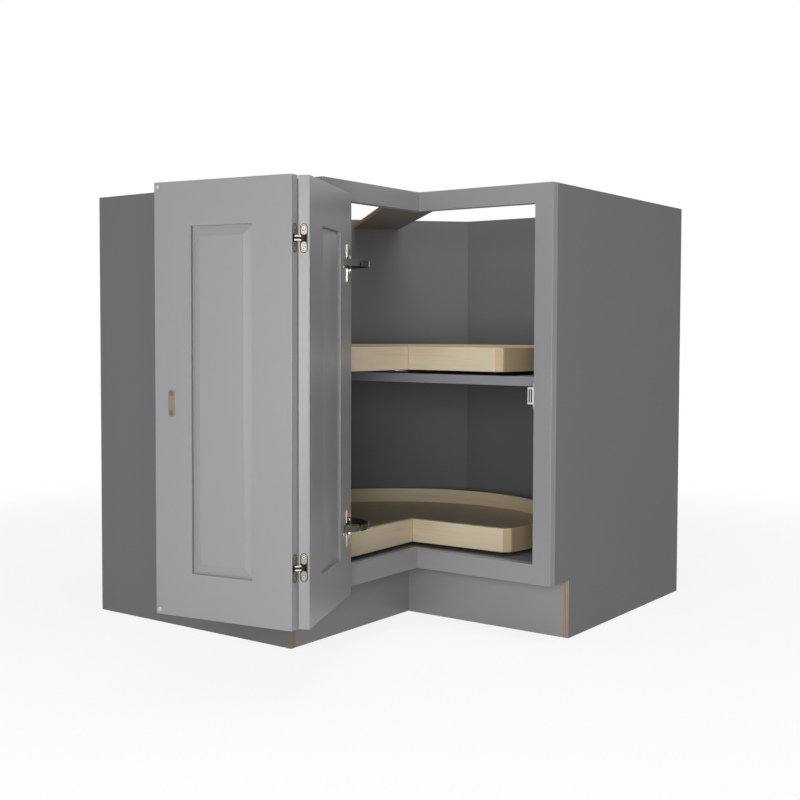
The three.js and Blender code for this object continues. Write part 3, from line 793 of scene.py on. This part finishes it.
# hidden hinges in the fold; a dark plate of painted mortise shadow has a window for the link
fold_mortise_shadow = cut_box(strap("fold_mortise_shadow_master", 0.0472, 0.0128, 0.0006), (0.0096, 0.0098, 0.01))
fold_plate = strap("fold_plate_master", 0.0172, 0.0100, 0.0006)
for level, z in FOLD_HEIGHTS.items():
    for leaf, place in LEAVES.items():
        node = f"{level}_fold_hinge_{leaf}_half"
        # painted shade: the halves are dark, standing in for the shade down in their pockets
        softened(node, 0.0006, DARK_STEEL_AND_SHADE, "nickel_steel")
        copied(fold_mortise_shadow, f"{level}_{leaf}_fold_mortise_shadow",
               facing(LEAF_MIDDLE, -FOLD_EDGE + 0.15, z, FOLDWARD, place),
               body_of(node), DARK_STEEL_AND_SHADE, "nickel_steel")
        for end, sign in reversed(ENDS):
            rise = sign * FOLD_PLATE
            copied(fold_plate, f"{level}_{leaf}_fold_plate_{end}",
                   facing(LEAF_MIDDLE, -FOLD_EDGE + 0.35, z + rise, FOLDWARD, place),
                   body_of(node), FOLD_NICKEL, "nickel_steel")
            screwed(f"{level}_{leaf}_fold_screw_{end}",
                    facing(LEAF_MIDDLE, -FOLD_EDGE + 0.45, z + rise * 1.16, FOLDWARD, place),
                    body_of(node), finish=FOLD_SCREW)
    node = f"{level}_fold_hinge_link"
    lie = OPEN_DOOR @ turn_about(FOLD_AXIS, -FOLD_AXIS, -FOLD_IN / 2) @ Matrix.Translation(
        room(FOLD_AXIS - 4.6, -FOLD_AXIS + 4.6, z)) @ Matrix.Rotation(math.radians(45), 4, "Z")
    for name, rise in (("upper", FOLD_BAR_RISE), ("lower", -FOLD_BAR_RISE)):
        bar(f"{level}_fold_link_{name}_bar", (11.4, 2.4, 2.6),
            lie @ Matrix.Translation((FOLD_BAR_ALONG, 0, rise / 1000)),
            body_of(node), NICKEL_SCREW, ease=0.0005, stands_for=(node,))
    # painted shade: the link's dark core stands for its middle down in the shade of the pockets,
    # between the bright bars
    bar(f"{level}_fold_link_shaded_core", (16.6, 2.0, 8.0), lie, body_of(node), DARK_STEEL_AND_SHADE)


# ---- strike plate, bumpers and catch -----------------------------------------------------------
STRIKE_THICK, STRIKE_SCREW = 1.2, 16.5
BUMPER_FROM_END, BUMPER_FROM_EDGE = 8, 7
MAGNET_MIDDLE, CATCH_SCREW = CATCH_EDGE - 7.7, 20.5


def strike_place(z):
    """A place on the strike plate, facing out of the free leaf's inner face."""
    return facing(LEAF_INNER - STRIKE_THICK, -STRIKE_ACROSS, z, INWARD, LEAVES["free"])


strike = strap("strike_master", 0.046, 0.013, STRIKE_THICK / 1000)
copied(strike, "strike_plate_rounded", strike_place(CATCH_MID), body_of("strike_plate"),
       STRIKE_NICKEL, "nickel_steel", "strike_plate")
for end, sign in ENDS:
    screwed(f"strike_screw_{end}", strike_place(CATCH_MID + sign * STRIKE_SCREW),
            body_of("strike_plate"), finish=STRIKE_NICKEL)

bpy.ops.mesh.primitive_uv_sphere_add(segments=32, ring_count=16, radius=1)
dome = added("bumper_master")
dome.scale = (0.004, 0.004, 0.0024)
smooth(settled(dome), 80)
for level, z in (("lower", LEAF_LOW + BUMPER_FROM_END), ("upper", LEAF_TOP - BUMPER_FROM_END)):
    node = f"{level}_door_bumper"
    copied(dome, f"{level}_bumper_dome",
           facing(LEAF_INNER, -(OUTER_EDGE - BUMPER_FROM_EDGE), z, INWARD, LEAVES["free"]),
           body_of(node), CLEAR_BUMPER, "soft_bumper", node)

housing = softened("catch_housing", 0.0004, WHITE_PLASTIC, "white_plastic")
stile_side = Matrix.Translation(room(CATCH_EDGE, 0))
housing.data.transform(stile_side @ Matrix.Diagonal((0.86, 1, 1, 1)) @ stile_side.inverted())
magnet_body = body_of("catch_magnet")
bar("catch_magnet_bar", (1.7, 9.6, 23),
    Matrix.Translation(room(MAGNET_MIDDLE, -(DEPTH - 5.2), CATCH_MID)),
    magnet_body, WHITE_PLASTIC, "white_plastic", stands_for=("catch_magnet",))
# the pole plates are near black: painted shade of the slots either side of the magnet
for name, side in (("left", -2.3), ("right", 2.3)):
    bar(f"catch_magnet_{name}_pole", (2.6, 9.6, 24.2),
        Matrix.Translation(room(MAGNET_MIDDLE + side, -(DEPTH - 5.3), CATCH_MID)),
        magnet_body, CATCH_POLE_SHADE)
for end, sign in ENDS:
    screwed(f"catch_screw_{end}",
            facing(CATCH_EDGE - 2, -(DEPTH - 7), CATCH_MID + sign * CATCH_SCREW, (-1, 0, 0)),
            body_of("catch_housing"), "white_plastic")
dropped(strike, dome, fold_mortise_shadow, fold_plate, *MASTERS.values())

# ---- trays -------------------------------------------------------------------------------------
for level, (foot, turn) in TRAYS.items():
    axis = room(TRAY_CENTRE, -TRAY_CENTRE)
    low_axis = axis + Vector((0, 0, foot / 1000))
    notch_way = math.radians(turn - 45)
    board_end = Vector((math.cos(notch_way), math.sin(notch_way), 0))
    floor_grain = straight_grain((0.5, 0.05, 0.05), turn + 20, axis)
    softened(f"{level}_tray_floor", 0.0005,
             birch(f"{level}_birch_floor", floor_grain, 4, -0.1, warm=0.6), "pale_birch")
    softened(f"{level}_tray_rim", 0.0008,
             birch(f"{level}_birch_rim", bent_grain, 3, 0.2, BIRCH_RIM_SHADE), "pale_birch")
    for side, angle in [("right", turn), ("left", turn + 90)]:
        board_grain = straight_grain((0.22, 0.009, 0.009), angle, low_axis)
        softened(f"{level}_tray_{side}_board", 0.0012,
                 birch(f"{level}_birch_{side}_board", board_grain, 3, end=board_end),
                 "pale_birch")

# the nodes that no piece stands for, the bearings, are shown as they are
for node in frame["nodes"].values():
    if not node.hide_render:
        node.data.materials.clear()
        node.data.materials.append(NICKEL)


# ---- studio ------------------------------------------------------------------------------------
def lamp(name, place, aim, width, height, watts):
    data = bpy.data.lights.new(name, "AREA")
    data.shape, data.size, data.size_y = "RECTANGLE", width, height
    data.energy = watts
    obj = bpy.data.objects.new(name, data)
    bpy.context.scene.collection.objects.link(obj)
    obj.location = place
    obj.rotation_mode = "QUATERNION"
    obj.rotation_quaternion = (Vector(aim) - Vector(place)).to_track_quat("-Z", "Y")


MIDDLE = (0.28, -0.28, 0.44)
lamp("key_softbox", (1.54, -2.66, 0.63), MIDDLE, 1.4, 0.8, 40)
lamp("right_softbox", (2.72, -1.17, 1.94), MIDDLE, 1.2, 1.2, 4)
lamp("overhead_softbox", (0.66, -0.5, 2.9), MIDDLE, 1.8, 1.8, 39)

world = bpy.data.worlds.new("studio")
bpy.context.scene.world = world
world.use_nodes = True
sky = world.node_tree
seen = sky.nodes.new("ShaderNodeLightPath")
shown = sky.nodes.new("ShaderNodeBackground")
shown.inputs["Color"].default_value = (1, 1, 1, 1)
shown.inputs["Strength"].default_value = 1.0
light = sky.nodes["Background"]
light.inputs["Color"].default_value = (0.97, 0.98, 1, 1)
light.inputs["Strength"].default_value = 0.12
sees_white = seen.outputs["Is Camera Ray"]
for ray in ("Is Glossy Ray", "Is Transmission Ray"):
    either = sky.nodes.new("ShaderNodeMath")
    either.operation = "MAXIMUM"
    sky.links.new(sees_white, either.inputs[0])
    sky.links.new(seen.outputs[ray], either.inputs[1])
    sees_white = either.outputs[0]
mix = sky.nodes.new("ShaderNodeMixShader")
sky.links.new(sees_white, mix.inputs[0])
sky.links.new(light.outputs[0], mix.inputs[1])
sky.links.new(shown.outputs[0], mix.inputs[2])
sky.links.new(mix.outputs[0], sky.nodes["World Output"].inputs["Surface"])

bpy.ops.object.select_all(action="DESELECT")
bpy.ops.mesh.primitive_plane_add(size=60, location=(0, 0, -0.0005))
floor = settled(added("studio_floor"))
floor_finish = Finish(
    "studio_floor", Base_Color=(0.9, 0.9, 0.9, 1), Roughness=0.9, Specular_IOR_Level=0.1)
far = floor_finish.vector("LENGTH", floor_finish.place, out="Value")
fade = floor_finish.node("MapRange", {"interpolation_type": "SMOOTHSTEP"},
                         {"Value": far, "From Min": 0.9, "From Max": 2.2})
path = floor_finish.tree.nodes.new("ShaderNodeLightPath")
looked_at, mirrored = (
    Wire(floor_finish, path.outputs[ray]) for ray in ("Is Camera Ray", "Is Glossy Ray"))
looked_at = looked_at.sum("MAXIMUM", looked_at, mirrored)
white = floor_finish.node("Emission", None, {"Color": (1, 1, 1, 1), "Strength": 1.0})
share = looked_at * (0.86 + 0.14 * fade)
plain = Wire(floor_finish, floor_finish.shader.outputs[0])
mixed = floor_finish.node("MixShader", None, {0: share, 1: plain, 2: white})
surface = floor_finish.tree.nodes["Material Output"].inputs["Surface"]
floor_finish.tree.links.new(mixed.socket, surface)
floor.data.materials.append(floor_finish.material)
